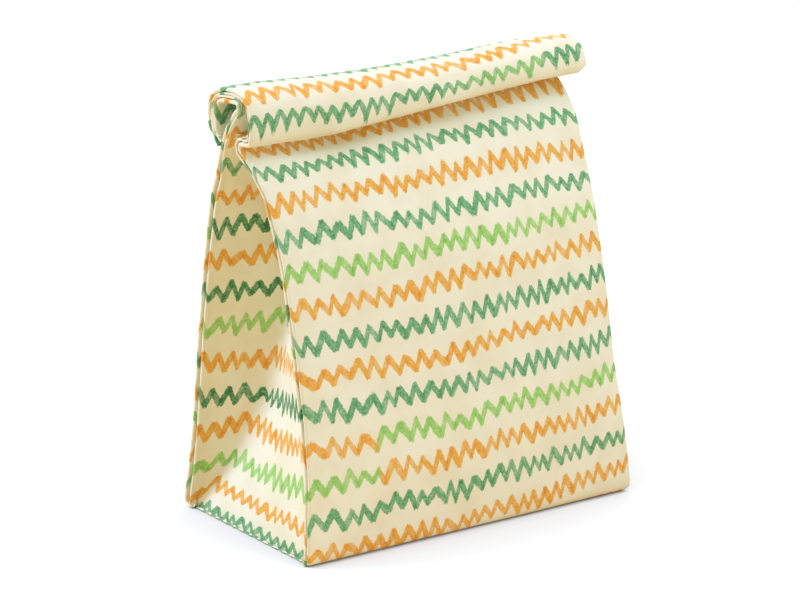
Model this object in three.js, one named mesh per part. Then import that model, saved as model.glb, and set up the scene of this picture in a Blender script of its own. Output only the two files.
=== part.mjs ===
import * as THREE from 'three';
import { mergeVertices } from 'three/addons/utils/BufferGeometryUtils.js';

// A soft snack bag in the form of a paper lunch sack, standing on its flat base.
// Its front and back lean together to a neck, and the flattened top is folded over to the back in one wide roll.
// Millimetres. The base rests on Z = 0, the front faces -Y and the width runs along X.

// Sizes of the standing bag
const WIDTH = 180;
const DEPTH = 104;
const NECK_HEIGHT = 189;
const FABRIC = 1.0;
const GAP = 0.3;

// The folded rims of a seam stand out beyond the panels
const SEAM_REACH = 3.5;
const SEAM_THICKNESS = 2.2;
const SEAM_CLEAR = 3;
const BASE_RIM = 2.0;

// Sizes of the rolled top
const ROLL_DEPTH = 35.5;
const ROLL_HEIGHT = 27;
const ROLL_OVERHANG = 5;
const TUCK_THICKNESS = 1.6;
const PLY_SPACE = 0.6;

// The closure strips sewn inside the mouth, between the folded ends of the gussets
const STRIP_END_CLEAR = 2;
const STRIP_WIDTH = 12;
const STRIP_THICKNESS = 0.9;
const STRIP_CLEAR = 5;

// The crease of a side gusset, folded in between front and back
const CREASE_RADIUS = 1.4;
const SOFT_FOLD_HEIGHT = 70;

// Steps along the curved pieces
const PANEL_STEPS = 26;
const ROLL_STEPS = 9;
const GUSSET_ROWS = 30;

const CLOTH = 0xece3c6;
const CLOTH_SHADE = 0xd9cba2;
const STRIP_COLOUR = 0xf4f2ea;

const HALF = WIDTH / 2;
const ROLL_HALF = HALF + ROLL_OVERHANG;
const GUSSET_EDGE = FABRIC + GAP;
const TUCK_WIDTH = DEPTH / 2 - BASE_RIM;
const STRIP_LENGTH = WIDTH - 2 * TUCK_WIDTH - 2 * STRIP_END_CLEAR;

// Outer faces of front and back in the side view: how far back of the front edge, and how high.
function profile(points) {
  const places = points.map(([across, up]) => new THREE.Vector2((across - 0.5) * DEPTH, up * NECK_HEIGHT));
  return new THREE.SplineCurve(places);
}
const frontLine = profile([
  [0, 0], [0.056, 0.212], [0.11, 0.423], [0.19, 0.635], [0.341, 0.847], [0.468, 0.952], [0.558, 1],
]);
const backLine = profile([
  [1, 0], [0.942, 0.212], [0.897, 0.423], [0.84, 0.635], [0.758, 0.847], [0.702, 0.942], [0.663, 0.976],
]);

// The line where the back panel bends forward into the roll
const neckFold = backLine.getPoint(1);

// The outer face of the roll in the side view, from the lip at the front, over the top and down the back.
// Across in parts of the roll's depth from its front wall, up in parts of its height from the neck.
const rollFront = neckFold.x - 0.8 * ROLL_DEPTH;
function rollPlace(across, up) {
  return new THREE.Vector2(rollFront + across * ROLL_DEPTH, NECK_HEIGHT + up * ROLL_HEIGHT);
}
const rollLine = new THREE.SplineCurve([
  rollPlace(0.488, 0.02), rollPlace(0.475, 0.085), rollPlace(0.42, 0.122), rollPlace(0.27, 0.126),
  rollPlace(0.13, 0.174), rollPlace(0.04, 0.3),
  rollPlace(0, 0.48), rollPlace(0.005, 0.65), rollPlace(0.07, 0.82), rollPlace(0.2, 0.95),
  rollPlace(0.385, 0.996), rollPlace(0.58, 0.992), rollPlace(0.77, 0.948), rollPlace(0.9, 0.84),
  rollPlace(0.98, 0.65), rollPlace(1, 0.41), rollPlace(0.98, 0.15), rollPlace(0.895, 0),
]);

// Fold lines of the roll, as parts of the way along its outer face
const FOLDS = [0, 0.325, 0.45, 0.604, 0.74, 1];

// Where the back ply's rise ends under the roll's top
const riseTop = rollPlace(0.39, 0.73);

// Points of a line moved sideways: to the right of its way for a positive distance.
function beside(line, from, to, steps, distance) {
  const points = [];
  for (let i = 0; i <= steps; i += 1) {
    const place = from + ((to - from) * i) / steps;
    const way = line.getTangentAt(place);
    const point = line.getPointAt(place);
    points.push(new THREE.Vector2(point.x + way.y * distance, point.y - way.x * distance));
  }
  return points;
}

// A strip of cloth whose section lies in the side view, run across the bag from one X to the other.
function across(outline, fromX, toX) {
  const shape = new THREE.Shape(outline);
  const solid = new THREE.ExtrudeGeometry(shape, { depth: toX - fromX, bevelEnabled: false });
  const turn = new THREE.Matrix4().makeBasis(
    new THREE.Vector3(0, 1, 0),
    new THREE.Vector3(0, 0, 1),
    new THREE.Vector3(1, 0, 0),
  );
  solid.applyMatrix4(turn);
  solid.translate(fromX, 0, 0);
  return solid;
}

// A band between two distances beside a line.
function band(line, from, to, steps, near, far) {
  const side = beside(line, from, to, steps, near);
  const other = beside(line, from, to, steps, far).reverse();
  return side.concat(other);
}

// A sheet of cloth bent over a surface. The surface gives a point for each u and v.
function bentSheet(surface, stepsU, stepsV, thickness) {
  const box = new THREE.BoxGeometry(1, 1, 1, stepsU, stepsV, 1);
  box.deleteAttribute('normal');
  box.deleteAttribute('uv');
  const sheet = mergeVertices(box);
  const places = sheet.getAttribute('position');
  const step = 0.004;
  for (let i = 0; i < places.count; i += 1) {
    const u = places.getX(i) + 0.5;
    const v = places.getY(i) + 0.5;
    const alongU = surface(Math.min(u + step, 1), v).sub(surface(Math.max(u - step, 0), v));
    const alongV = surface(u, Math.min(v + step, 1)).sub(surface(u, Math.max(v - step, 0)));
    const normal = alongU.cross(alongV).normalize();
    const point = surface(u, v).addScaledVector(normal, places.getZ(i) * thickness);
    places.setXYZ(i, point.x, point.y, point.z);
  }
  return sheet;
}

const object = new THREE.Group();

function add(name, geometry, colour = CLOTH) {
  const material = new THREE.MeshStandardMaterial({ color: colour, roughness: 0.85 });
  const mesh = new THREE.Mesh(geometry, material);
  mesh.name = name;
  object.add(mesh);
}

// Base panel, flat on the ground, with a stitched rim along each side
add('base_panel', new THREE.BoxGeometry(WIDTH, DEPTH, FABRIC).translate(0, 0, FABRIC / 2), CLOTH_SHADE);
const rimLength = DEPTH - 2 * GAP;
for (const [side, name] of [[-1, 'left_base_seam'], [1, 'right_base_seam']]) {
  const rim = new THREE.BoxGeometry(BASE_RIM, rimLength, BASE_RIM);
  rim.translate(side * (HALF + GAP + BASE_RIM / 2), 0, BASE_RIM / 2);
  add(name, rim);
}

// Front and back panels, each one curved sheet from the base to the neck
const panelStart = (FABRIC + GAP) / frontLine.getLength();
const frontOutline = band(frontLine, panelStart, 1, PANEL_STEPS, 0, FABRIC);
add('front_panel', across(frontOutline, -HALF, HALF));
const backOutline = band(backLine, panelStart, 1, PANEL_STEPS, 0, -FABRIC);
add('back_panel', across(backOutline, -HALF, HALF));

// Four upright seams: the folded rims of panel and gusset, stitched together along each corner
const seamStart = (BASE_RIM + 2 * GAP) / frontLine.getLength();
const seamEnd = 1 - SEAM_CLEAR / frontLine.getLength();
for (const [side, name] of [[-1, 'left'], [1, 'right']]) {
  const near = HALF + GAP;
  const far = near + SEAM_REACH;
  const [fromX, toX] = side < 0 ? [-far, -near] : [near, far];
  const frontSeam = band(frontLine, seamStart, seamEnd, PANEL_STEPS, 0, SEAM_THICKNESS);
  add(`front_${name}_seam`, across(frontSeam, fromX, toX));
  const backSeam = band(backLine, seamStart, seamEnd, PANEL_STEPS, 0, -SEAM_THICKNESS);
  add(`back_${name}_seam`, across(backSeam, fromX, toX));
}

// How far back a line lies at a height.
function atHeight(line, height) {
  let low = 0;
  let high = 1;
  for (let i = 0; i < 40; i += 1) {
    const middle = (low + high) / 2;
    if (line.getPoint(middle).y < height) {
      low = middle;
    } else {
      high = middle;
    }
  }
  return line.getPoint(low).x;
}

// A gusset stands flat over the base and folds in deeper the closer front and back come together.
const GUSSET_TOP = neckFold.y - 2 * FABRIC;
const insetFront = new THREE.SplineCurve(beside(frontLine, 0, 1, PANEL_STEPS, GUSSET_EDGE + FABRIC / 2));
const insetBack = new THREE.SplineCurve(beside(backLine, 0, 1, PANEL_STEPS, -GUSSET_EDGE - FABRIC / 2));
function gussetSection(height) {
  const back = atHeight(insetBack, height);
  const front = atHeight(insetFront, height);
  const cut = DEPTH / 2 - GUSSET_EDGE - FABRIC / 2;
  const half = (back - front) / 2;
  const slack = Math.sqrt(Math.max(cut * cut - half * half, 0));
  const soft = 1 - Math.exp(-((height / SOFT_FOLD_HEIGHT) ** 2));
  const depth = slack * soft;
  const middle = (back + front) / 2;
  const blunt = Math.min(CREASE_RADIUS, half);
  const ease = Math.min(CREASE_RADIUS, 0.4 * depth);
  return [
    new THREE.Vector2(0, back),
    new THREE.Vector2(depth - ease, middle + blunt),
    new THREE.Vector2(depth, middle + blunt / 2),
    new THREE.Vector2(depth, middle - blunt / 2),
    new THREE.Vector2(depth - ease, middle - blunt),
    new THREE.Vector2(0, front),
  ];
}

// Steps along each stretch of the section: the back half, the rounded crease, the front half
const GUSSET_STEPS = [5, 1, 1, 1, 5];
function gussetPoint(u, v) {
  const height = FABRIC + GAP + v * (GUSSET_TOP - FABRIC - GAP);
  const corners = gussetSection(height);
  let place = u * gussetStepCount;
  let stretch = 0;
  while (stretch < GUSSET_STEPS.length - 1 && place > GUSSET_STEPS[stretch]) {
    place -= GUSSET_STEPS[stretch];
    stretch += 1;
  }
  const point = corners[stretch].clone().lerp(corners[stretch + 1], Math.min(place / GUSSET_STEPS[stretch], 1));
  return new THREE.Vector3(point.x, point.y, height);
}
const gussetStepCount = GUSSET_STEPS.reduce((sum, steps) => sum + steps, 0);
function gussetOn(side) {
  const inset = HALF - FABRIC / 2;
  const place = (u, v) => {
    const point = gussetPoint(side < 0 ? u : 1 - u, v);
    return new THREE.Vector3(side * (inset - point.x), point.y, point.z);
  };
  return bentSheet(place, gussetStepCount, GUSSET_ROWS, FABRIC);
}
add('left_gusset', gussetOn(-1), CLOTH_SHADE);
add('right_gusset', gussetOn(1), CLOTH_SHADE);

// The folded ends of the gussets, pressed flat between the plies of the roll at each side
function addTucks(piece, outline) {
  add(`${piece}_left_tuck`, across(outline, -HALF, -HALF + TUCK_WIDTH), CLOTH_SHADE);
  add(`${piece}_right_tuck`, across(outline, HALF - TUCK_WIDTH, HALF), CLOTH_SHADE);
}

// The part of the roll between two folds, with half a gap left at each end
const rollLength = rollLine.getLength();
function between(fold) {
  const clear = GAP / 2 / rollLength;
  return [FOLDS[fold] + clear, FOLDS[fold + 1] - clear];
}
const tuckNear = FABRIC + PLY_SPACE;
const tuckFar = tuckNear + TUCK_THICKNESS;
const backNear = tuckFar + PLY_SPACE;
const backFar = backNear + FABRIC;
function addPly(name, fold, near, far) {
  const [from, to] = between(fold);
  add(name, across(band(rollLine, from, to, ROLL_STEPS, near, far), -ROLL_HALF, ROLL_HALF));
}
function addRollTucks(piece, fold) {
  const [from, to] = between(fold);
  addTucks(piece, band(rollLine, from, to, ROLL_STEPS, tuckNear, tuckFar));
}

// Front wall of the roll: the front ply, creased forward in a lip, and the back ply rising behind it
addPly('front_wall_front_ply', 0, 0, FABRIC);
const riseStart = new THREE.Vector2(neckFold.x, neckFold.y).lerp(riseTop, GAP / neckFold.distanceTo(riseTop));
const rise = new THREE.LineCurve(riseStart, riseTop);
add('front_wall_back_ply', across(band(rise, 0, 1, 1, 0, FABRIC), -ROLL_HALF, ROLL_HALF));
addTucks('front_wall', band(rise, 0.22, 1, 1, tuckNear, tuckFar));

// Shoulder: the front ply bending over at the front
addPly('shoulder_front_ply', 1, 0, FABRIC);
addRollTucks('shoulder', 1);

// Crown, slope and back wall: both plies together over the top and down the back
for (const [fold, piece] of [[2, 'crown'], [3, 'slope'], [4, 'back_wall']]) {
  addPly(`${piece}_front_ply`, fold, 0, FABRIC);
  addPly(`${piece}_back_ply`, fold, backNear, backFar);
  addRollTucks(piece, fold);
}

// Closure: a hook strip and a loop strip pressed together inside the mouth, low on the back wall
const hookNear = FABRIC + GAP;
const loopNear = hookNear + STRIP_THICKNESS + GAP;
const backWall = between(4);
const stripEnd = backWall[1] - STRIP_CLEAR / rollLength;
const stripStart = stripEnd - STRIP_WIDTH / rollLength;
for (const [name, near] of [['hook_strip', hookNear], ['loop_strip', loopNear]]) {
  const outline = band(rollLine, stripStart, stripEnd, ROLL_STEPS, near, near + STRIP_THICKNESS);
  add(name, across(outline, -STRIP_LENGTH / 2, STRIP_LENGTH / 2), STRIP_COLOUR);
}

export default object;
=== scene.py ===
import math

import bmesh
import bpy
import numpy as np
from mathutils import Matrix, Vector, noise


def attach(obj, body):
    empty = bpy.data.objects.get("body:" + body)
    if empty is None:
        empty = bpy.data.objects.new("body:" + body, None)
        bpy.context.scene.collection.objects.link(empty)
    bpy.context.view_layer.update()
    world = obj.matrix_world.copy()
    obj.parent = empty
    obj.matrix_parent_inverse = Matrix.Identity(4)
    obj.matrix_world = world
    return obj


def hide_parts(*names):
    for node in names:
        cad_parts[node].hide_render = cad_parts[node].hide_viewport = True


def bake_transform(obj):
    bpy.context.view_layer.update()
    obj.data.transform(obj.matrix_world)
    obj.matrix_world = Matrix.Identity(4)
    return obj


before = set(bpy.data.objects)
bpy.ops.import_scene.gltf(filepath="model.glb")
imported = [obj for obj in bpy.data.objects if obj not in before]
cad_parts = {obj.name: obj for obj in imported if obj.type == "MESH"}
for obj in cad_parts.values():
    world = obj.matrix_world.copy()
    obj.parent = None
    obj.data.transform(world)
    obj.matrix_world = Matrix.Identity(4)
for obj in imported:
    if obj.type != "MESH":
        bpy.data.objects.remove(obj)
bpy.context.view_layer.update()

# Front cloth: one sheet of printed, lightly coated cotton that runs from under the base up the front,
# round the lip and over the whole roll to the mouth. Its long sides are folded back on themselves and
# sewn to the gussets, which makes the narrow raised seams at the corners.
MM = 0.001
# A millimetre on the print's own map
PRINT_UNIT = 0.01
# Fine points between two corners of a run, and how far around a spot its direction is read
SMOOTH_STEPS = 30
LOOK_AROUND = 0.3


def smooth_run(corners):
    """Fine points on a smooth line through (across, up) corners, and how far along it each lies."""
    points = np.array(corners, float)
    knots = np.concatenate([[0], np.cumsum(np.sqrt(np.linalg.norm(np.diff(points, axis=0), axis=1)))])
    slopes = np.zeros_like(points)
    for i in range(1, len(points) - 1):
        before = (points[i] - points[i - 1]) / (knots[i] - knots[i - 1])
        after = (points[i + 1] - points[i]) / (knots[i + 1] - knots[i])
        whole = (points[i + 1] - points[i - 1]) / (knots[i + 1] - knots[i - 1])
        slopes[i] = before - whole + after
    slopes[0] = (points[1] - points[0]) / (knots[1] - knots[0])
    slopes[-1] = (points[-1] - points[-2]) / (knots[-1] - knots[-2])
    fine = []
    for i in range(len(points) - 1):
        span = knots[i + 1] - knots[i]
        for t in np.linspace(0, 1, SMOOTH_STEPS, endpoint=False):
            start = (1 + 2 * t) * (1 - t) ** 2 * points[i] + t * (1 - t) ** 2 * span * slopes[i]
            end = t * t * (3 - 2 * t) * points[i + 1] + t * t * (t - 1) * span * slopes[i + 1]
            fine.append(start + end)
    fine.append(points[-1])
    fine = np.array(fine)
    along = np.concatenate([[0], np.cumsum(np.linalg.norm(np.diff(fine, axis=0), axis=1))])
    return fine, along


def spot_on_run(run, distance):
    """The place on a run at a distance, and the direction to the right of its way."""
    fine, along = run
    reads = [max(distance - LOOK_AROUND, 0.0), distance, min(distance + LOOK_AROUND, along[-1])]
    across = np.interp(reads, along, fine[:, 0])
    up = np.interp(reads, along, fine[:, 1])
    way = math.hypot(across[2] - across[0], up[2] - up[0])
    return across[1], up[1], (up[2] - up[0]) / way, (across[0] - across[2]) / way


def beside(spot, distance):
    """A place to the right of a spot on a run."""
    across, up, right_across, right_up = spot
    return across + distance * right_across, up + distance * right_up


def nearest_on_run(run, place):
    """The distance along a run of its point nearest to a place in the side view."""
    fine, along = run
    return float(along[np.argmin(np.linalg.norm(fine - np.array(place), axis=1))])


def cuts_at(run, places):
    """Where a cloth is cut into stretches: its start, its points nearest to places, and its end."""
    return [0, *(nearest_on_run(run, place) for place in places), run[1][-1]]


def cloth_grid(name, columns, rows, place, print_place):
    """A sheet of columns by rows faces, with its print as a UV map.

    place gives each corner in millimetres, and print_place its spot on the print in millimetres.
    """
    sheet = bmesh.new()
    bmesh.ops.create_grid(sheet, x_segments=columns, y_segments=rows, size=0.5)
    layer = sheet.loops.layers.uv.new("print")
    spots = {}
    for corner in sheet.verts:
        column = round((corner.co.x + 0.5) * columns)
        row = round((corner.co.y + 0.5) * rows)
        spots[corner] = [PRINT_UNIT * value for value in print_place(column, row)]
        corner.co = [MM * value for value in place(column, row)]
    for face in sheet.faces:
        face.smooth = True
        for loop in face.loops:
            loop[layer].uv = spots[loop.vert]
    mesh = bpy.data.meshes.new(name)
    sheet.to_mesh(mesh)
    sheet.free()
    made = bpy.data.objects.new(name, mesh)
    bpy.context.scene.collection.objects.link(made)
    return made


# The front cloth from the side, across and up in millimetres: base, front, neck, lip and roll
FRONT_CORNERS = [
    (-46, 0.45), (-50, 0.7), (-52.4, 1.8), (-53.2, 4.4), (-53.1, 12), (-52.5, 20), (-50.3, 40),
    (-46.1, 60), (-42.2, 80), (-38.5, 100), (-33.9, 120), (-28.6, 140), (-20.4, 160), (-14.4, 172),
    (-8, 180.4), (-3.9, 184.6), (-0.8, 187.2), (0.3, 188.6), (-0.8, 189.9), (-4.4, 190.4),
    (-7.6, 190.9), (-9.9, 192.4), (-11.3, 195.8), (-11.9, 199.5), (-11.9, 204), (-11.1, 208),
    (-9.4, 211.2), (-6.4, 213.8), (-2.4, 215.4), (2.6, 215.9), (8.4, 215.5), (15.7, 214.0),
    (21.6, 210.5), (24.4, 204.8), (25.0, 197.5), (23.8, 191.2), (20.8, 188.4), (16.6, 187.4),
]
front_run = smooth_run(FRONT_CORNERS)
FRONT_LENGTH = front_run[1][-1]
# Distances along it: the base fold, from which the print is counted, the neck, and the ends of stretches
FRONT_FOLD_RISE = 4.5
front_base = nearest_on_run(front_run, (-53.2, 4.4)) - FRONT_FOLD_RISE
front_neck = nearest_on_run(front_run, (-0.8, 187.2))
FRONT_CUTS = cuts_at(front_run, [(-4.2, 190.7), (-9.4, 211.0), (3.3, 215.9), (15.8, 213.6)])


def table(*pairs):
    """A reading between given pairs of place and value."""
    places, values = zip(*pairs)
    return lambda place: float(np.interp(place, places, values))


# How far the seams reach out to the left and to the right at each height
REACH = {
    -1: table(
        (0, 91.6), (0.9, 92), (2.6, 93), (5, 93.3), (20, 92.2), (43, 90.4), (67, 89.2), (138, 89.2),
        (170, 89.8), (180, 92), (194, 95.6), (220, 95.8),
    ),
    1: table(
        (0, 92), (0.9, 92.4), (2.6, 93.4), (5, 93.7), (20, 92.4), (43, 90.4), (67, 89.2), (138, 89.2),
        (170, 89.8), (182, 91), (190, 90.6), (196, 93.6), (202, 96.2), (220, 96),
    ),
}
# How far the middle of the front and back bellies out at each height, where the sides are drawn in
belly = table((0, 0), (25, 1.6), (60, 4), (140, 4), (172, 1.5), (184, 0))
# Half the thickness of a folded-back edge. Along the roll the edges are padded by their seams.
rim_size = table((0, 0.95), (178, 0.95), (194, 1.12))
# The roll tapers to the right, where it is wound tighter: its underside rises there, and its top sags
# in the middle. Each lift is read across the bag, and its share at a height.
under_lift = table(
    (-90, 0), (-62, -1.6), (-44, -2), (-22, -0.2), (0, 1.4), (35, 4.2), (70, 6.8), (96, 7.2),
)
under_share = table((160, 0), (176, 0.3), (186, 1), (192, 1), (197, 0.64), (202, 0.27), (207, 0))
top_lift = table((-78, 0), (-45, -1.5), (5, -1.8), (45, -0.7), (75, 0.2), (96, -0.4))
top_share = table((196, 0), (206, 0.6), (214, 1))
# The neck under the roll is pressed in, except at its left end.
neck_press = table((-88, 0), (-70, 2), (-40, 5), (30, 6), (80, 6), (96, 4))
press_share = table((177, 0), (184, 0.7), (187.5, 1), (190.2, 1), (193.5, 0))
# The roll starts at its foot, tilts along its length, and is drawn in to its middle at the right end.
ROLL_FOOT = 178
ROLL_RISE = 20
ROLL_MIDDLE = 6
ROLL_TILT = 0.0095
TIGHT_START = 42
TIGHT_SPAN = 53
TIGHTEST = 0.08


def smooth_share(value, start, span):
    """A smooth step from 0 at start to 1 a span later."""
    share = min(max((value - start) / span, 0), 1)
    return share * share * (3 - 2 * share)


def settle(x, across, up):
    """Moves a spot of the even bag to where it lies on this one, whose roll is uneven."""
    share = smooth_share(up, ROLL_FOOT, ROLL_RISE)
    tighter = TIGHTEST * smooth_share(x, TIGHT_START, TIGHT_SPAN) * share
    lifted = up - ROLL_TILT * x * share + under_lift(x) * under_share(up) + top_lift(x) * top_share(up)
    return x, across + tighter * (ROLL_MIDDLE - across) + neck_press(x) * press_share(up), lifted


# The unevenness of a sewn, handled bag: size across, size along, place in the noise and height
RIPPLES = ((62, 75, 3.1, 1.15), (24, 30, 8.7, 0.4), (9, 13, 1.9, 0.07))


def ripple(across, distance):
    """How far the cloth stands out from its even form."""
    total = 0
    for wide, tall, patch, height in RIPPLES:
        total += height * noise.noise((across / wide, distance / tall, patch))
    return total


# Where the folded-back edge has its points, in from the seam, and the points round its turn and across
# the flat cloth
FOLD_WIDTHS = (4.6, 3.2, 1.9)
TURN_POINTS = 8
FLAT_POINTS = 105


def folded_edge(half, rim):
    """The folded-back edge of a cloth: how far out, how far inward, and spot on the print."""
    points = []
    for width in FOLD_WIDTHS:
        points.append((half - width, 2 * rim, half + width + math.pi * rim / 2))
    for angle in np.linspace(math.pi, 0, TURN_POINTS)[1:-1]:
        reach = half - rim + rim * math.sin(angle)
        points.append((reach, rim - rim * math.cos(angle), half - rim + rim * angle))
    return points


def folded_section(height):
    """Across a cloth from one folded-back edge to the other: x, how far inward, and spot on the print."""
    left = REACH[-1](height)
    right = REACH[1](height)
    rim = rim_size(height)
    points = [(-x, inward, -spot) for x, inward, spot in folded_edge(left, rim)]
    points += [(x, 0.0, x) for x in np.linspace(-(left - rim), right - rim, FLAT_POINTS)]
    points += reversed(folded_edge(right, rim))
    return points


SECTION_COUNT = len(folded_section(0))

# The print runs up to the right, by this much at each height. Its rows lie closer together over the roll
# than on the front, so they are shifted around the neck, by distance from it.
print_rise = table(
    (0, 7.4), (80, 4.6), (140, 2.6), (165, 0.5), (178, -1.2), (190, -3.4), (202, 0), (214, 4), (226, 6),
    (240, 6.5),
)
print_shift = table(
    (-40, 0), (-26, -0.4), (-12, -0.4), (-4, 4.2), (5.2, 4.2), (19.6, -4.4), (26.6, -4.4), (29.6, -1),
    (40, -1), (43, 0),
)
RISE_START = -25
RISE_SPAN = 97
RISE_CURVE = 1.4


def print_height(across, distance):
    """Where a spot of the front lies on the print, up from the base fold."""
    height = distance - front_base
    rise = print_rise(height) * (max(across - RISE_START, 0) / RISE_SPAN) ** RISE_CURVE
    return height - rise + print_shift(distance - rise - front_neck)


# The cloth is even near the base and stays above the floor. The belly ends at the seams.
CALM_BASE = 30
LOWEST = 0.4
BELLY_HALF = 89


def stands_out(x, height, distance, unevenness):
    """How far a spot of the front or back stands out: its unevenness and the belly."""
    return unevenness * min(distance / CALM_BASE, 1) + belly(height) * max(1 - (x / BELLY_HALF) ** 2, 0)


def front_piece(name, start, end, rows):
    """A stretch of the front cloth between two distances along its run."""
    steps = np.linspace(start, end, rows + 1)
    spots = [spot_on_run(front_run, step) for step in steps]
    sections = [folded_section(spot[1]) for spot in spots]

    def place(column, row):
        x, inward, _ = sections[row][column]
        lift = stands_out(x, spots[row][1], steps[row], ripple(x, steps[row]))
        across, up = beside(spots[row], inward - lift)
        return settle(x, across, max(up, LOWEST))

    def print_place(column, row):
        return sections[row][column][2], print_height(sections[row][column][0], steps[row])

    return cloth_grid(name, SECTION_COUNT - 1, rows, place, print_place)


def link(tree, socket, value):
    """Joins a socket to another, or sets its value."""
    if isinstance(value, (int, float, tuple)):
        socket.default_value = value
    else:
        tree.links.new(value, socket)


def sum_node(tree, operation, first, second=0.0, third=0.0):
    """A sum on numbers."""
    node = tree.nodes.new("ShaderNodeMath")
    node.operation = operation
    for socket, value in zip(node.inputs, (first, second, third)):
        link(tree, socket, value)
    return node.outputs[0]


def mix_number(tree, share, first, second):
    """A number between two others."""
    node = tree.nodes.new("ShaderNodeMix")
    node.data_type = "FLOAT"
    node.clamp_factor = True
    for socket, value in zip((node.inputs[0], node.inputs[2], node.inputs[3]), (share, first, second)):
        link(tree, socket, value)
    return node.outputs[0]


def mix_colour(tree, share, first, second, blend="MIX"):
    """A colour between two others."""
    node = tree.nodes.new("ShaderNodeMix")
    node.data_type = "RGBA"
    node.blend_type = blend
    for socket, value in zip((node.inputs[0], node.inputs[6], node.inputs[7]), (share, first, second)):
        link(tree, socket, value)
    return node.outputs[2]


def eased(tree, value, low, high, out_low=0.0, out_high=1.0):
    """A smooth step from one number to another."""
    node = tree.nodes.new("ShaderNodeMapRange")
    node.interpolation_type = "SMOOTHSTEP"
    for socket, number in zip(node.inputs, (value, low, high, out_low, out_high)):
        link(tree, socket, number)
    return node.outputs[0]


def pair(tree, first, second):
    """Two numbers as a vector."""
    node = tree.nodes.new("ShaderNodeCombineXYZ")
    link(tree, node.inputs[0], first)
    link(tree, node.inputs[1], second)
    return node.outputs[0]


def soft_noise(tree, spot, scale, detail=2.0):
    """Smooth noise from 0 to 1."""
    node = tree.nodes.new("ShaderNodeTexNoise")
    node.noise_dimensions = "2D"
    node.inputs["Scale"].default_value = scale
    node.inputs["Detail"].default_value = detail
    tree.links.new(spot, node.inputs["Vector"])
    return node.outputs["Fac"]


def dice(tree, first, second):
    """Three random numbers for a pair of whole numbers."""
    node = tree.nodes.new("ShaderNodeTexWhiteNoise")
    node.noise_dimensions = "2D"
    tree.links.new(pair(tree, first, second), node.inputs["Vector"])
    apart = tree.nodes.new("ShaderNodeSeparateColor")
    tree.links.new(node.outputs["Color"], apart.inputs[0])
    return apart.outputs[0], apart.outputs[1], apart.outputs[2]


def linear(red, green, blue):
    """A screen colour as the renderer's own."""
    parts = []
    for value in (red, green, blue):
        part = value / 255
        parts.append(part / 12.92 if part <= 0.04045 else ((part + 0.055) / 1.055) ** 2.4)
    return (*parts, 1.0)


CREAM = linear(241, 235, 211)
STAINED_CREAM = linear(232, 219, 184)
INKS = {
    "orange": linear(235, 170, 57),
    "teal": linear(104, 169, 115),
    "leaf": linear(156, 206, 106),
    "forest": linear(64, 138, 82),
}


def row_colours(tree, row, names):
    """The ink of each row, by its number."""
    ramp = tree.nodes.new("ShaderNodeValToRGB")
    ramp.color_ramp.interpolation = "CONSTANT"
    stops = ramp.color_ramp.elements
    while len(stops) < len(names):
        stops.new(0.5)
    for i, name in enumerate(names):
        stops[i].position = i / len(names)
        stops[i].color = INKS[name]
    share = sum_node(tree, "DIVIDE", sum_node(tree, "ADD", row, 0.5), float(len(names)))
    tree.links.new(share, ramp.inputs[0])
    return ramp.outputs[0]


# Noise on the print, by its scale to a millimetre and its detail
WANDER_NOISE = (0.022, 1.0)
UNEVEN_NOISE = (0.07, 1.0)
FRAY_NOISE = (0.6, 4.0)
GRAIN_NOISE = (0.8, 4.0)
BLOTCH_NOISE = (0.3, 3.0)
STAIN_NOISE = (0.05, 5.0)
WEAVE_NOISE = (0.5, 4.0)
# Each print and each row reads a patch of the noise and random numbers of its own.
PRINT_PATCH = 37.0
ROW_PATCH = 53.0
PRINT_ROWS = 11.0


def vary(tree, draw, least, spread):
    """A number from least upwards by a draw from 0 to 1."""
    return sum_node(tree, "MULTIPLY_ADD", draw, spread, least)


def print_spot(tree, seed):
    """Where a point lies on the print, across and up in millimetres, and its place in the noise."""
    spot = tree.nodes.new("ShaderNodeUVMap")
    spot.uv_map = "print"
    apart = tree.nodes.new("ShaderNodeSeparateXYZ")
    tree.links.new(spot.outputs[0], apart.inputs[0])
    across = sum_node(tree, "MULTIPLY", apart.outputs[0], 1 / PRINT_UNIT)
    up = sum_node(tree, "MULTIPLY", apart.outputs[1], 1 / PRINT_UNIT)
    return across, up, pair(tree, across, sum_node(tree, "ADD", up, PRINT_PATCH * seed))


# How far rows wander up and down in all
WANDER = 4.4


def print_rows(tree, up, here, first_row, pitch):
    """The number of the row at a point, and how far above the row's line the point lies."""
    wander = vary(tree, soft_noise(tree, here, *WANDER_NOISE), -WANDER / 2, WANDER)
    level = sum_node(tree, "ADD", sum_node(tree, "SUBTRACT", up, first_row), wander)
    row = sum_node(tree, "FLOOR", sum_node(tree, "MULTIPLY_ADD", level, 1 / pitch, 0.5))
    return row, sum_node(tree, "SUBTRACT", level, sum_node(tree, "MULTIPLY", row, pitch))


# How fast a row draws its teeth, how unevenly, and how far its start lies off. Rows from the even row up
# don't get tighter to the right, and those from the tight row down do so in full.
PACE_LEAST = 0.9
PACE_SPREAD = 0.22
UNEVEN = 0.8
FIRST_TOOTH = 40.0
START_SPREAD = 9.0
EVEN_ROW = 11.0
TIGHT_ROW = 5.0


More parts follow.
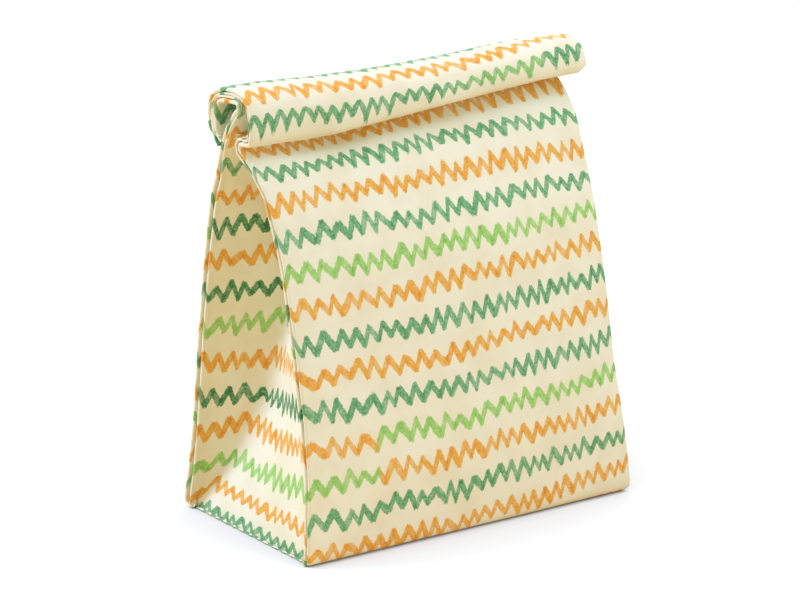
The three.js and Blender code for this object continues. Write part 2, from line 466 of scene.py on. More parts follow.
def tooth_count(tree, across, row, own, tooth, tighter):
    """How many teeth a row has drawn up to a point."""
    start, spread, _ = dice(tree, own, 0.5)
    row_spot = pair(tree, across, sum_node(tree, "MULTIPLY", own, ROW_PATCH))
    uneven = soft_noise(tree, row_spot, *UNEVEN_NOISE)
    pace = vary(tree, spread, PACE_LEAST / tooth, PACE_SPREAD / tooth)
    count = sum_node(tree, "MULTIPLY", across, pace)
    count = sum_node(tree, "ADD", count, vary(tree, uneven, FIRST_TOOTH, UNEVEN))
    gain = eased(tree, row, EVEN_ROW, TIGHT_ROW, 0.0, tighter)
    count = sum_node(tree, "MULTIPLY_ADD", sum_node(tree, "MULTIPLY", across, across), gain, count)
    return sum_node(tree, "MULTIPLY_ADD", start, START_SPREAD, count)


# How the pen draws, in millimetres: where teeth end below and above a row's line, how round their tips are,
# half the width of strokes down and up, and how far the ink's edge frays and fades
TIP_LOW = -4.9
TIP_HIGH = 2.3
TIP_SPREAD = 2.7
TIP_ROUND = 1.3
PEN_DOWN = 1.22
PEN_DOWN_SPREAD = 0.45
PEN_UP = 1.1
PEN_UP_SPREAD = 0.4
FRAYED = 2.4
INK_EDGE = (0.5, -0.45)
# Shares of a tooth: where its peak lies, and how near to a corner its strokes meet
PEAK_FIRST = 0.35
PEAK_SPREAD = 0.18
MEETING = (0.2, 0.02)


def pen_strokes(tree, count, own, height, here, tooth):
    """Where the pen has drawn, where its strokes meet, and how hard it was pressed.

    Each tooth has a steep stroke up and a longer one down, with heights of its own.
    """
    number = sum_node(tree, "FLOOR", count)
    part = sum_node(tree, "FRACT", count)
    low, high, lean = dice(tree, number, own)
    next_low, _, press = dice(tree, sum_node(tree, "ADD", number, 1.0), own)
    low = vary(tree, low, TIP_LOW, TIP_SPREAD)
    next_low = vary(tree, next_low, TIP_LOW, TIP_SPREAD)
    high = vary(tree, high, TIP_HIGH, TIP_SPREAD)
    peak = vary(tree, lean, PEAK_FIRST, PEAK_SPREAD)
    fall = sum_node(tree, "SUBTRACT", 1.0, peak)
    past_peak = sum_node(tree, "SUBTRACT", part, peak)
    rising = sum_node(tree, "LESS_THAN", part, peak)
    up_line = mix_number(tree, sum_node(tree, "DIVIDE", part, peak), low, high)
    down_line = mix_number(tree, sum_node(tree, "DIVIDE", past_peak, fall), high, next_low)
    stroke = mix_number(tree, rising, down_line, up_line)
    foot_height = mix_number(tree, rising, next_low, low)

    # A steep stroke is wider when it is measured straight up.
    climb = sum_node(tree, "SUBTRACT", high, foot_height)
    length = sum_node(tree, "MULTIPLY", mix_number(tree, rising, fall, peak), tooth)
    steep = sum_node(tree, "DIVIDE", climb, length)
    slant = sum_node(tree, "SQRT", sum_node(tree, "MULTIPLY_ADD", steep, steep, 1.0))
    pen_down = vary(tree, press, PEN_DOWN, PEN_DOWN_SPREAD)
    pen_up = vary(tree, lean, PEN_UP, PEN_UP_SPREAD)
    thick = sum_node(tree, "MULTIPLY", mix_number(tree, rising, pen_down, pen_up), slant)
    away = sum_node(tree, "ABSOLUTE", sum_node(tree, "SUBTRACT", height, stroke))
    over = sum_node(tree, "SUBTRACT", height, high)
    under = sum_node(tree, "SUBTRACT", foot_height, height)
    tip = sum_node(tree, "SUBTRACT", sum_node(tree, "MAXIMUM", over, under), TIP_ROUND)
    away = sum_node(tree, "MAXIMUM", sum_node(tree, "SUBTRACT", away, thick), tip)
    frayed = vary(tree, soft_noise(tree, here, *FRAY_NOISE), -FRAYED / 2, FRAYED)
    inked = eased(tree, sum_node(tree, "ADD", away, frayed), *INK_EDGE)

    corner = sum_node(tree, "ABSOLUTE", past_peak)
    foot = sum_node(tree, "MINIMUM", part, sum_node(tree, "SUBTRACT", 1.0, part))
    meeting = eased(tree, sum_node(tree, "MINIMUM", corner, foot), *MEETING)
    return inked, meeting, press


# Where a row goes over to its other inks: to the left one, and in part to the right one and back again
LEFT_CHANGE = (-50.0, -54.0)
RIGHT_CHANGE = (5.0, 40.0, 0.0, 0.6)
RIGHT_END = (76.0, 70.0)


def row_ink(tree, across, row, rows, left_rows, right_rows):
    """The ink of a row, which can be another one far on the left or on the right."""
    at_left = eased(tree, across, *LEFT_CHANGE)
    at_right = eased(tree, across, *RIGHT_CHANGE)
    at_right = sum_node(tree, "MULTIPLY", at_right, eased(tree, across, *RIGHT_END))
    ink = mix_colour(tree, at_left, row_colours(tree, row, rows), row_colours(tree, row, left_rows))
    return mix_colour(tree, at_right, ink, row_colours(tree, row, right_rows))


# How much darker ink is where strokes meet and where the pen was pressed, and from which to which darkness
# pale ink goes over to its own colour and that to deep ink
MEETING_DARK = 0.22
PRESS_LEAST = -0.16
PRESS_SPREAD = 0.3
PALE_SHARE = 0.22
PALE_TO_INK = (-0.25, 0.1)
INK_TO_DEEP = (0.05, 0.6, 0.0, 0.65)


def dried_ink(tree, ink, here, meeting, press):
    """Ink as it dried: deeper where strokes meet or the pen was pressed, and paler elsewhere."""
    pressed = vary(tree, press, PRESS_LEAST, PRESS_SPREAD)
    dark = sum_node(tree, "MULTIPLY_ADD", meeting, MEETING_DARK, pressed)
    dark = sum_node(tree, "ADD", dark, vary(tree, soft_noise(tree, here, *BLOTCH_NOISE), -0.5, 1.0))
    deep = mix_colour(tree, 1.0, ink, ink, "MULTIPLY")
    pale = mix_colour(tree, PALE_SHARE, ink, CREAM)
    ink = mix_colour(tree, eased(tree, dark, *PALE_TO_INK), pale, ink)
    return mix_colour(tree, eased(tree, dark, *INK_TO_DEEP), ink, deep)


# How streaks thin the ink, and how far the cream goes over to its stained tone
STREAKS = (0.25, 0.55, 0.72, 1.0)
STAINS = (0.35, 0.7, 0.0, 0.45)


def printed_cotton(name, rows, left_rows, right_rows, first_row, pitch, tooth, tighter, seed):
    """Cream cotton with rows of felt-pen zigzags, counted up from first_row in millimetres.

    Some rows change their ink far on the left or on the right. Low rows can get tighter to the right.
    """
    material = bpy.data.materials.new(name)
    material.use_nodes = True
    tree = material.node_tree
    shader = tree.nodes["Principled BSDF"]
    across, up, here = print_spot(tree, seed)
    row, height = print_rows(tree, up, here, first_row, pitch)
    own = sum_node(tree, "ADD", row, PRINT_ROWS * seed)
    count = tooth_count(tree, across, row, own, tooth, tighter)
    inked, meeting, press = pen_strokes(tree, count, own, height, here, tooth)
    ink = dried_ink(tree, row_ink(tree, across, row, rows, left_rows, right_rows), here, meeting, press)

    # Streaks in the ink let the cloth through, and the cloth's cream is a little uneven.
    grain = soft_noise(tree, here, *GRAIN_NOISE)
    cover = sum_node(tree, "MULTIPLY", inked, eased(tree, grain, *STREAKS))
    stain = soft_noise(tree, here, *STAIN_NOISE)
    ground = mix_colour(tree, eased(tree, stain, *STAINS), CREAM, STAINED_CREAM)
    tree.links.new(mix_colour(tree, cover, ground, ink), shader.inputs["Base Color"])
    shader.inputs["Roughness"].default_value = 0.72
    shader.inputs["Specular IOR Level"].default_value = 0.25
    bump = tree.nodes.new("ShaderNodeBump")
    bump.inputs["Strength"].default_value = 0.12
    bump.inputs["Distance"].default_value = 0.0004
    tree.links.new(soft_noise(tree, here, *WEAVE_NOISE), bump.inputs["Height"])
    tree.links.new(bump.outputs[0], shader.inputs["Normal"])
    return material


FRONT_ROWS = ["orange", "teal", "orange", "leaf", "teal", "orange", "teal", "orange", "leaf", "teal",
              "orange", "teal", "orange", "teal", "orange", "teal", "orange", "teal"]
FRONT_LEFT = ["orange", "teal", "leaf", "orange"] + FRONT_ROWS[4:]
FRONT_RIGHT = FRONT_ROWS[:13] + ["leaf"] + FRONT_ROWS[14:]
front_print = printed_cotton(
    "front_print", FRONT_ROWS, FRONT_LEFT, FRONT_RIGHT,
    first_row=5.2, pitch=16.4, tooth=7.8, tighter=0.00016, seed=1.0,
)

# Each stretch lies between two bodies, from one place to another in metres.
BLENDS = [
    ("bag", "front_wall", (0, 0.005, 0.166), (0, 0.005, 0.1882)),
    ("front_wall", "shoulder", (0, -0.005, 0.2036), (0, -0.005, 0.2092)),
    ("shoulder", "crown", (0, -0.0080, 0.214), (0, 0.0015, 0.214)),
    ("crown", "slope", (0, 0.0055, 0.214), (0, 0.0140, 0.214)),
    ("slope", "back_wall", (0, 0.0170, 0.2130), (0, 0.0225, 0.2080)),
]
FRONT_CLOTH_ROWS = [150, 18, 14, 12, 30]
for i, (body, next_body, start, end) in enumerate(BLENDS):
    piece = front_piece(f"front_cloth_{i + 1}", FRONT_CUTS[i], FRONT_CUTS[i + 1], FRONT_CLOTH_ROWS[i])
    piece.data.materials.append(front_print)
    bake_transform(piece)
    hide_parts(f"{next_body}_front_ply")
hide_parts("front_panel")

# Back cloth: the same cotton up the back to the neck. There it folds forward, rises inside the roll
# to the top and runs back down inside it to the mouth, so that its printed face lines the roll's hollow.
BACK_CORNERS = [
    (46, 0.45), (50.6, 0.6), (52.4, 1.3), (53.0, 3.2), (52.3, 12), (51.2, 20), (50, 40), (48.9, 60),
    (47, 80), (44.1, 100), (40.9, 120), (37.2, 140), (32, 160), (25.4, 174), (20.6, 181.6),
    (16.8, 187), (11.7, 193.9), (8.9, 198.6), (5.6, 202.8), (2.6, 206.1), (0.6, 207.5), (0.8, 208.4),
    (3.2, 208.4), (10, 207.8), (14.6, 206.6), (17.0, 203.8), (17.5, 197.5), (17.1, 192.6),
    (16.2, 190.2), (15.0, 189.2),
]
back_run = smooth_run(BACK_CORNERS)
BACK_FOLD_RISE = 3.4
back_base = nearest_on_run(back_run, (53.0, 3.2)) - BACK_FOLD_RISE
BACK_CUTS = cuts_at(back_run, [(10.8, 195.4), (0.75, 208.3), (6.6, 208.1), (13.2, 207.1)])
# The back reads another patch of the unevenness, and less of it.
BACK_PATCH = 300
BACK_SHARE = 0.7


def back_piece(name, start, end, rows):
    """A stretch of the back cloth between two distances along its run."""
    steps = np.linspace(start, end, rows + 1)
    spots = [spot_on_run(back_run, step) for step in steps]
    sections = [folded_section(spot[1]) for spot in spots]

    def place(column, row):
        x, inward, _ = sections[row][column]
        lift = stands_out(x, spots[row][1], steps[row], BACK_SHARE * ripple(x + BACK_PATCH, steps[row]))
        across, up = beside(spots[row], lift - inward)
        return settle(x, across, max(up, LOWEST))

    def print_place(column, row):
        return sections[row][column][2], steps[row] - back_base

    return cloth_grid(name, SECTION_COUNT - 1, rows, place, print_place)


BACK_ROWS = ["teal", "orange", "leaf", "orange", "teal", "orange", "teal", "orange", "leaf", "teal",
             "orange", "teal", "teal", "orange", "teal", "orange", "leaf", "teal"]
back_print = printed_cotton(
    "back_print", BACK_ROWS, BACK_ROWS, BACK_ROWS,
    first_row=10.8, pitch=16.4, tooth=8.3, tighter=0.0, seed=2.0,
)
BACK_BLENDS = [
    ("bag", "front_wall", (0, 0.019, 0.180), (0, 0.013, 0.1905)),
    ("front_wall", "shoulder", (0, -0.005, 0.2018), (0, -0.005, 0.2067)),
    ("shoulder", "crown", (0, 0.0010, 0.2105), (0, 0.0064, 0.2105)),
    ("crown", "slope", (0, 0.0068, 0.2105), (0, 0.0124, 0.2105)),
    ("slope", "back_wall", (0, 0.0142, 0.2062), (0, 0.0178, 0.2021)),
]
BACK_NODES = [
    ["back_panel", "front_wall_back_ply"],
    [],
    ["crown_back_ply"],
    ["slope_back_ply"],
    ["back_wall_back_ply"],
]
BACK_CLOTH_ROWS = [130, 16, 10, 10, 26]
for i, (body, next_body, start, end) in enumerate(BACK_BLENDS):
    piece = back_piece(f"back_cloth_{i + 1}", BACK_CUTS[i], BACK_CUTS[i + 1], BACK_CLOTH_ROWS[i])
    piece.data.materials.append(back_print)
    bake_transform(piece)
    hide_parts(*BACK_NODES[i])
    length = MM * (BACK_CUTS[i + 1] - BACK_CUTS[i])

# Side gussets: one sheet of the same cotton on each side, folded in along its middle. Each stands nearly
# flat over the base and folds in deeper towards the neck. Its edges are folded and sewn to the cloths.
# The turned edge lies a little inside the seam, with a flap behind it. Past the turn the cloth eases over
# to the flat, which starts further in.
EDGE_INSET = 0.4
FLAP_WIDTH = 3.4
EASE_OUT = 1.2
EASE_IN = 0.1
FLAT_INSET = 3.2
FLAT_MOST = 89.8
FLAT_IN = 0.6
# No part of a gusset lies lower than this.
LOWEST_SIDE = 0.5
# The soft bulges of the flat: size along, size up, place in the noise and height
BULGE_LONG = 30
BULGE_TALL = 38
BULGE_PATCH = 5.5
BULGE = 0.9
# The gap between the cloth's folded edge and the gusset's, at each height
seam_gap = table((0, 1.5), (168, 1.5), (190, 0.25))
# The fold at each height: how deep it lies, its share of the way from front to back, and how round it is
crease_depth = table(
    (0, 0), (8, 3.6), (14, 6.6), (26, 12.4), (45, 17), (59, 21.5), (73, 23.8), (83, 25.6), (95, 28.4),
    (105, 31), (125, 37), (140, 41), (200, 47),
)
crease_share = table(
    (0, 0.985), (8, 0.97), (14, 0.95), (26, 0.9), (45, 0.84), (59, 0.77), (73, 0.75), (95, 0.73),
    (107, 0.7), (128, 0.56), (145, 0.5),
)
crease_round = table((0, 0.03), (15, 0.08), (40, 0.16), (60, 0.1), (80, 0.06))
# How far the rows of the print are shifted at the front edge, at the fold and at the back edge
front_shift = table((0, 0.5), (6, 3), (14, 7), (32, 4), (50, 1), (66, 1.5), (80, 1), (100, 4), (180, 8))
crease_shift = table(
    (0, -2), (6, 1), (14, 6), (26, 11), (45, 9), (59, 12), (73, 10), (90, 7), (105, 5), (115, 4),
    (140, 5), (180, 6),
)
back_shift = table((0, 13), (18, 17), (32, 17), (60, 14.5), (100, 13.5), (140, 12.5))


def run_at_height(run, top):
    """Distances along a run for heights below the neck."""
    fine, along = run
    rising = fine[:, 1] <= top
    first = int(np.argmax(~rising))
    return lambda height: float(np.interp(height, fine[:first, 1], along[:first]))


# Rows of the gusset: up to the neck by height, and from there into the roll by distance along the cloths.
# Below the height that it is sewn from, its rims go straight down.
BELOW_NECK = 184.0
GUSSET_FOOT = 0.6
RIM_FOOT = 5
SEWN_FROM = 8
GUSSET_NECK = 180.0
GUSSET_STEPS = 95
NECK_RISE = 16
NECK_STEPS = 21
GUSSET_COLUMNS = 60
front_at = run_at_height(front_run, BELOW_NECK)
back_at = run_at_height(back_run, BELOW_NECK)
gusset_rows = []
for level in np.linspace(GUSSET_FOOT, GUSSET_NECK, GUSSET_STEPS + 1):
    gusset_rows.append((front_at(max(level, SEWN_FROM)), back_at(max(level, SEWN_FROM)), level))
last_front, last_back, _ = gusset_rows[-1]
for lift in np.linspace(0, 1, NECK_STEPS + 1)[1:]:
    front_spot = last_front + lift * (FRONT_CUTS[1] - last_front)
    back_spot = last_back + lift * (BACK_CUTS[1] - last_back)
    gusset_rows.append((front_spot, back_spot, GUSSET_NECK + NECK_RISE * lift))
# The turn of a gusset's edge, and half its thickness at each height
EDGE_POINTS = 7
rim_turn = np.linspace(0, math.pi, EDGE_POINTS)
layer_rim = table((0, 1.05), (168, 1.0), (190, 0.62))


def gusset_section(front_spot, back_spot, level, side):
    """Points across a gusset from its front rim to its back rim, with the shift of the print."""
    points = []
    half = REACH[side](max(level, RIM_FOOT)) - EDGE_INSET
    drop = max(SEWN_FROM - level, 0)
    flat_half = min(half - FLAT_INSET, FLAT_MOST)
    near = 2 * rim_size(level) + seam_gap(level)
    own_rim = layer_rim(level)
    for side_run, side_spot, way, shift in (
        (front_run, front_spot, 1, front_shift(level)),
        (back_run, back_spot, -1, back_shift(level)),
    ):
        here = spot_on_run(side_run, side_spot)
        here = (here[0], here[1] - drop, here[2], here[3])
        rim = [(-(half - FLAP_WIDTH), *beside(here, way * near))]
        for angle in rim_turn:
            reach = half - own_rim + own_rim * math.sin(angle)
            inward = near + own_rim - own_rim * math.cos(angle)
            rim.append((-reach, *beside(here, way * inward)))
        # Behind the turn the cloth eases into the flat.
        rim.append((-(flat_half + EASE_OUT), *beside(here, way * (near + 2 * own_rim + EASE_IN))))
        edge = beside(here, way * (near + 2 * own_rim + FLAT_IN))
        points.append((rim, shift, edge))
    (front_rim, low_shift, edge_front), (back_rim, high_shift, edge_back) = points
    depth = crease_depth(level)
    share = crease_share(level)
    soft = crease_round(level)
    middle_shift = crease_shift(level)
    made = [(*spot, low_shift) for spot in front_rim]
    for step in np.linspace(0, 1, GUSSET_COLUMNS + 1):
        part = (step - share) / share if step < share else (step - share) / (1 - share)
        away = (math.sqrt(part * part + soft * soft) - soft) / (math.sqrt(1 + soft * soft) - soft)
        inset = depth * (1 - away)
        y = edge_front[0] + (edge_back[0] - edge_front[0]) * step
        z = edge_front[1] + (edge_back[1] - edge_front[1]) * step
        side_shift = low_shift if step < share else high_shift
        shift = middle_shift + (side_shift - middle_shift) * away
        bulge = BULGE * noise.noise((y / BULGE_LONG, z / BULGE_TALL, BULGE_PATCH))
        bulge *= math.sin(math.pi * step)
        made.append((-flat_half + inset + bulge, y, z, shift))
    made.extend((*spot, high_shift) for spot in reversed(back_rim))
    return made


GUSSET_ROWS = ["teal", "orange", "leaf", "orange", "forest", "orange", "leaf", "forest", "orange",
               "forest", "orange", "teal", "orange", "teal", "orange", "teal"]
gusset_print = printed_cotton(
    "gusset_print", GUSSET_ROWS, GUSSET_ROWS, GUSSET_ROWS,
    first_row=3.0, pitch=17.0, tooth=7.2, tighter=0.0, seed=3.0,
)
# The two gussets show different stretches of the print.
PRINT_APART = 40


def gusset(name, side):
    """The gusset on one side, folded in along its middle."""
    sections = [gusset_section(*row, side) for row in gusset_rows]
    spread = []
    for section in sections:
        places = np.array([point[:3] for point in section])
        spread.append(np.concatenate([[0], np.cumsum(np.linalg.norm(np.diff(places, axis=0), axis=1))]))

    def place(column, row):
        x, across, up, _ = sections[row][column]
        return settle(-side * x, across, max(up, LOWEST_SIDE))

    def print_place(column, row):
        middle = spread[row][len(sections[row]) // 2]
        level = gusset_rows[row][2]
        return spread[row][column] - middle + PRINT_APART * side, level + sections[row][column][3]

    return cloth_grid(name, len(sections[0]) - 1, len(gusset_rows) - 1, place, print_place)


SEAMS = {-1: "left", 1: "right"}
for side, word in SEAMS.items():
    piece = gusset(f"{word}_gusset_cloth", side)
    piece.data.materials.append(gusset_print)
    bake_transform(piece)
    seams = (f"front_{word}_seam", f"back_{word}_seam")
    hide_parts(f"{word}_gusset", *seams, f"front_wall_{word}_tuck")

# Folded ends of the gussets: inside the roll each gusset goes on as two layers of its cotton, against the
# front and the back cloth. They meet at the crease, halfway between the cloths.
CREASE_REACH = 46
# The height at which the layers' edges are read, and the middle of their width
LAYER_HEIGHT = 210
LAYER_MIDDLE = 70
# Where the flat of a layer starts, in from its edge, and where each layer lies on the print
LAYER_INSET = 3
LAYER_TURN_PRINT = 2
LAYER_PRINT = 30
LAYER_POINTS = 12
LENGTH_POINTS = 40
CLOTHS = {
    1: ("front", front_run, FRONT_CUTS, BLENDS, FRONT_CLOTH_ROWS),
    -1: ("back", back_run, BACK_CUTS, BACK_BLENDS, BACK_CLOTH_ROWS),
}
layer_near = 2 * rim_size(LAYER_HEIGHT) + seam_gap(LAYER_HEIGHT)
layer_turn = layer_rim(LAYER_HEIGHT)


def layer_section(half):
    """Points across a layer from its turned edge to the crease.

    Each is x, how far inward, its spot on the print, and its share of the way to the crease.
    """
    points = [(half - FLAP_WIDTH, layer_near, -FLAP_WIDTH, 0.0)]
    for angle in rim_turn:
        reach = half - layer_turn + layer_turn * math.sin(angle)
        inward = layer_near + layer_turn - layer_turn * math.cos(angle)
        points.append((reach, inward, layer_turn * angle, 0.0))
    flat_start = half - LAYER_INSET
    for share in np.linspace(0, 1, LAYER_POINTS):
        x = flat_start + share * (CREASE_REACH - flat_start)
        points.append((x, layer_near + 2 * layer_turn, half - x + LAYER_TURN_PRINT, share))
    return points


def stretch_spots(way, stretch, count):
    """Distances along one stretch of the front (1) or back (-1) cloth, and the spots there."""
    _, run, cuts, _, _ = CLOTHS[way]
    steps = np.linspace(cuts[stretch], cuts[stretch + 1], count)
    return steps, [spot_on_run(run, step) for step in steps]


def towards_crease(place, spot, other, share):
    """A place moved a share of the way to the crease, halfway between spots on the two cloths."""
    across = place[0] + share * ((spot[0] + other[0]) / 2 - place[0])
    up = place[1] + share * ((spot[1] + other[1]) / 2 - place[1])
    return across, up


def layer_piece(name, way, stretch, rows, side):
    """One stretch of a gusset's folded end, from the edge of the front or back cloth in to the crease."""
    steps, spots = stretch_spots(way, stretch, rows + 1)
    others = stretch_spots(-way, stretch, rows + 1)[1]
    section = layer_section(REACH[side](LAYER_HEIGHT) - EDGE_INSET)

    def place(column, row):
        x, inward, _, share = section[column]
        if way > 0:
            lift = ripple(side * x, steps[row])
        else:
            lift = -BACK_SHARE * ripple(side * x + BACK_PATCH, steps[row])
        beside_cloth = beside(spots[row], way * inward - lift)
        return settle(side * x, *towards_crease(beside_cloth, spots[row], others[row], share))

    def print_place(column, row):
        return section[column][2] + LAYER_PRINT * way, steps[row]

    return cloth_grid(name, len(section) - 1, rows, place, print_place)


def layer_length(way, stretch, side):
    """How long one stretch of a folded end is along the middle of its width, in metres."""
    spots = stretch_spots(way, stretch, LENGTH_POINTS)[1]
    others = stretch_spots(-way, stretch, LENGTH_POINTS)[1]
    places = []
    for spot, other in zip(spots, others):
        middle = towards_crease(beside(spot, way * (layer_near + layer_turn)), spot, other, 0.5)
        places.append(settle(LAYER_MIDDLE * side, *middle))
    return MM * float(np.sum(np.linalg.norm(np.diff(np.array(places), axis=0), axis=1)))


for side, word in SEAMS.items():
    for i in range(1, len(BLENDS)):
        for way, (cloth, _, _, blends, row_counts) in CLOTHS.items():
            piece = layer_piece(f"{word}_{cloth}_layer_{i + 1}", way, i, row_counts[i], side)
            piece.data.materials.append(gusset_print)
            body, next_body, start, end = blends[i]
            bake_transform(piece)
            if way > 0:
                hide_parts(f"{next_body}_{word}_tuck")
            length = layer_length(way, i, side)

# Base: the flat sheet of the same cotton that the bag stands on, sewn to the cloths and gussets all round,
# with a narrow stitched rim of rolled cloth along each side.
BASE_WIDTH = 180
BASE_DEPTH = 94
BASE_COLUMNS = 60
BASE_SHEET_ROWS = 40
BASE_HEIGHT = 0.45
BASE_PRINT = -13


def base_spot(column, row):
    """Where a corner of the base lies, from its middle."""
    x = BASE_WIDTH * (column / BASE_COLUMNS - 0.5)
    y = BASE_DEPTH * (row / BASE_SHEET_ROWS - 0.5)
    return x, y


def base_print(column, row):
    """Where a corner of the base lies on the back's print."""
    x, y = base_spot(column, row)
    return x, y + BASE_PRINT


base = cloth_grid(
    "base_cloth", BASE_COLUMNS, BASE_SHEET_ROWS,
    lambda column, row: (*base_spot(column, row), BASE_HEIGHT), base_print,
)
base.data.materials.append(back_print)
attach(base, "bag")
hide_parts("base_panel")

# The rim along a side of the base: where it starts and lies
RIM_START = -49.5
RIM_LENGTH = 98
RIM_REACH = 90.3
RIM_HEIGHT = 0.75
RIM_THICK = 0.62
RIM_ROWS = 100
RIM_COLUMNS = 12
# How much the rim swells at each stitch and between, how far it wanders sideways, how fast by row, and the
# patches of the noise that it reads
RIM_SWELL = 0.08
RIM_WANDER = 0.25
STITCH_PACE = 0.9
SWELL_PACE = 0.3
WANDER_PACE = 0.12
SWELL_PATCH = 2.0
WANDER_PATCH = 7.0
# Where the rim lies on the print, by row and by its turn
RIM_PRINT_STEP = 1.01
RIM_PRINT_FOOT = 1.0
RIM_PRINT_TURN = 0.8


def base_rim(name, side):
    """A rolled rim of cloth along one side of the base, uneven like hand-guided sewing."""
    around = np.linspace(0, 2 * math.pi, RIM_COLUMNS + 1)

    def place(column, row):
        y = RIM_START + RIM_LENGTH * row / RIM_ROWS
        turn = around[column]
        stitch = math.sin(row * STITCH_PACE)
        swell = noise.noise((row * SWELL_PACE, SWELL_PATCH, side))
        thick = RIM_THICK + RIM_SWELL * stitch + RIM_SWELL * swell
        wander = RIM_WANDER * noise.noise((row * WANDER_PACE, WANDER_PATCH, side))
        x = RIM_REACH + wander + thick * math.cos(turn)
        return side * x, y, RIM_HEIGHT + thick * math.sin(turn)

    def print_place(column, row):
        return RIM_PRINT_STEP * row, RIM_PRINT_FOOT + around[column] * RIM_PRINT_TURN

    return cloth_grid(name, RIM_COLUMNS, RIM_ROWS, place, print_place)


for side, word in SEAMS.items():
    rim = base_rim(f"{word}_base_rim", side)
    rim.data.materials.append(gusset_print)
    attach(rim, "bag")
    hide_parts(f"{word}_base_seam")

# Closure: a hook strip and a loop strip of woven tape inside the mouth, hidden between the cloths. Each is
# sewn flat along the mouth.
STRIP_HALF = 38.0
STRIP_COLUMNS = 30
STRIP_ROWS = 12
STRIP_FROM_MOUTH = 22
STRIP_START = FRONT_LENGTH - STRIP_FROM_MOUTH
# How far inside the front cloth each strip lies
STRIP_INSETS = {"hook_strip": 1.5, "loop_strip": 2.7}
tape = bpy.data.materials.new("woven_tape")
tape.use_nodes = True
tape_shader = tape.node_tree.nodes["Principled BSDF"]
tape_shader.inputs["Base Color"].default_value = linear(244, 241, 233)
tape_shader.inputs["Roughness"].default_value = 0.9


def closure_strip(name, inward):
    """A strip of tape, one millimetre to a row, at a distance inside the front cloth."""

    def place(column, row):
        across, up = beside(spot_on_run(front_run, STRIP_START + row), inward)
        return settle(-STRIP_HALF + column * 2 * STRIP_HALF / STRIP_COLUMNS, across, up)

    return cloth_grid(name, STRIP_COLUMNS, STRIP_ROWS, place, lambda column, row: (column, row))


for name, inward in STRIP_INSETS.items():
    strip = closure_strip(f"{name}_tape", inward)
    strip.data.materials.append(tape)
    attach(strip, "back_wall")
    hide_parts(name)

# Surroundings: a white floor, soft daylight from all round, and large soft lamps above, behind on the left
# and in front. The camera sees floor and sky white, and the object is lit at a plain level.
FLOOR_SIZE = 3.0
# The floor's own white glow, which fades where the object stands near as a painted shadow, and how far that
# painted shadow reaches
FLOOR_GLOW = 0.63
PAINTED_SHADOW_REACH = 0.12


def show_or_light(tree, lighting, seen, output):
    """The camera, mirrors and glass see one shader, and the other one lights the object."""
    ray = tree.nodes.new("ShaderNodeLightPath")
    direct = sum_node(tree, "MAXIMUM", ray.outputs["Is Camera Ray"], ray.outputs["Is Glossy Ray"])
    direct = sum_node(tree, "MAXIMUM", direct, ray.outputs["Is Transmission Ray"])
    choice = tree.nodes.new("ShaderNodeMixShader")
    for socket, value in zip(choice.inputs, (direct, lighting.outputs[0], seen.outputs[0])):
        tree.links.new(value, socket)
    tree.links.new(choice.outputs[0], output.inputs["Surface"])


floor_mesh = bmesh.new()
bmesh.ops.create_grid(floor_mesh, x_segments=1, y_segments=1, size=FLOOR_SIZE)
floor_data = bpy.data.meshes.new("floor")
floor_mesh.to_mesh(floor_data)
floor_mesh.free()
floor = bpy.data.objects.new("floor", floor_data)
bpy.context.scene.collection.objects.link(floor)
white = bpy.data.materials.new("floor_white")
white.use_nodes = True
paint = white.node_tree
seen_floor = paint.nodes["Principled BSDF"]
seen_floor.inputs["Base Color"].default_value = (0.53, 0.55, 0.565, 1)
seen_floor.inputs["Emission Color"].default_value = (1, 1, 1, 1)
# The glow is dimmed by occlusion near the object: a painted contact shadow on the floor.
openness = paint.nodes.new("ShaderNodeAmbientOcclusion")
openness.inputs["Distance"].default_value = PAINTED_SHADOW_REACH
glow = sum_node(paint, "MULTIPLY", openness.outputs["AO"], FLOOR_GLOW)
paint.links.new(glow, seen_floor.inputs["Emission Strength"])
lit_floor = paint.nodes.new("ShaderNodeBsdfPrincipled")
lit_floor.inputs["Base Color"].default_value = (0.85, 0.62, 0.32, 1)
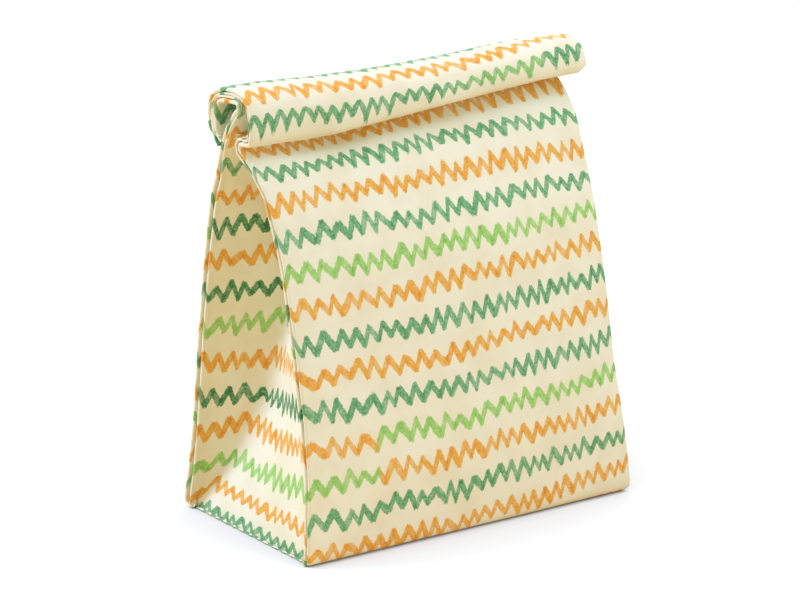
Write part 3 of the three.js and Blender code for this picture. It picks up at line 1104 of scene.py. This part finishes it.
for shader in (seen_floor, lit_floor):
    shader.inputs["Roughness"].default_value = 0.9
    shader.inputs["Specular IOR Level"].default_value = 0.0
show_or_light(paint, lit_floor, seen_floor, paint.nodes["Material Output"])
floor_data.materials.append(white)

world = bpy.data.worlds.new("daylight")
bpy.context.scene.world = world
world.use_nodes = True
sky = world.node_tree
seen = sky.nodes.new("ShaderNodeBackground")
seen.inputs["Color"].default_value = (1, 1, 1, 1)
seen.inputs["Strength"].default_value = 1.0
lighting = sky.nodes["Background"]
lighting.inputs["Color"].default_value = (0.9, 1, 0.64, 1)
lighting.inputs["Strength"].default_value = 0.43
show_or_light(sky, lighting, seen, sky.nodes["World Output"])


def put_facing(thing, place, aim):
    """Puts a lamp or the camera at a place, facing a point."""
    bpy.context.scene.collection.objects.link(thing)
    thing.location = place
    thing.rotation_euler = (Vector(aim) - Vector(place)).to_track_quat("-Z", "Y").to_euler()


LIT_SPOT = (0, 0, 0.1)


def lamp(name, place, aim, width, watts, tint):
    """A square soft lamp at a place, facing a point."""
    data = bpy.data.lights.new(name, "AREA")
    data.size = width
    data.energy = watts
    data.color = tint
    put_facing(bpy.data.objects.new(name, data), place, aim)


lamp("top_lamp", (0, 0, 2.0), (0, 0, 0), 2.0, 19.5, (1, 0.66, 0.82))
lamp("key_lamp", (-1.15, 0.92, 0.92), LIT_SPOT, 0.9, 27.4, (0.54, 0.68, 1))
lamp("front_lamp", (0.8, -1.6, 0.9), LIT_SPOT, 0.9, 9, (0.56, 0.69, 1))
lamp("high_front_lamp", (0.55, -1.15, 1.8), LIT_SPOT, 0.7, 18, (0.53, 0.69, 0.94))

camera_data = bpy.data.cameras.new("camera")
camera_data.lens = 218.7
camera_data.sensor_width = 36
camera_data.clip_end = 20
camera = bpy.data.objects.new("camera", camera_data)
CAMERA_PLACE = (-1.2632, -1.7951, 0.7872)
CAMERA_AIM = (-0.0031, 0.0021, 0.0998)
put_facing(camera, CAMERA_PLACE, CAMERA_AIM)
bpy.context.scene.camera = camera
bpy.context.scene.view_settings.view_transform = "Standard"
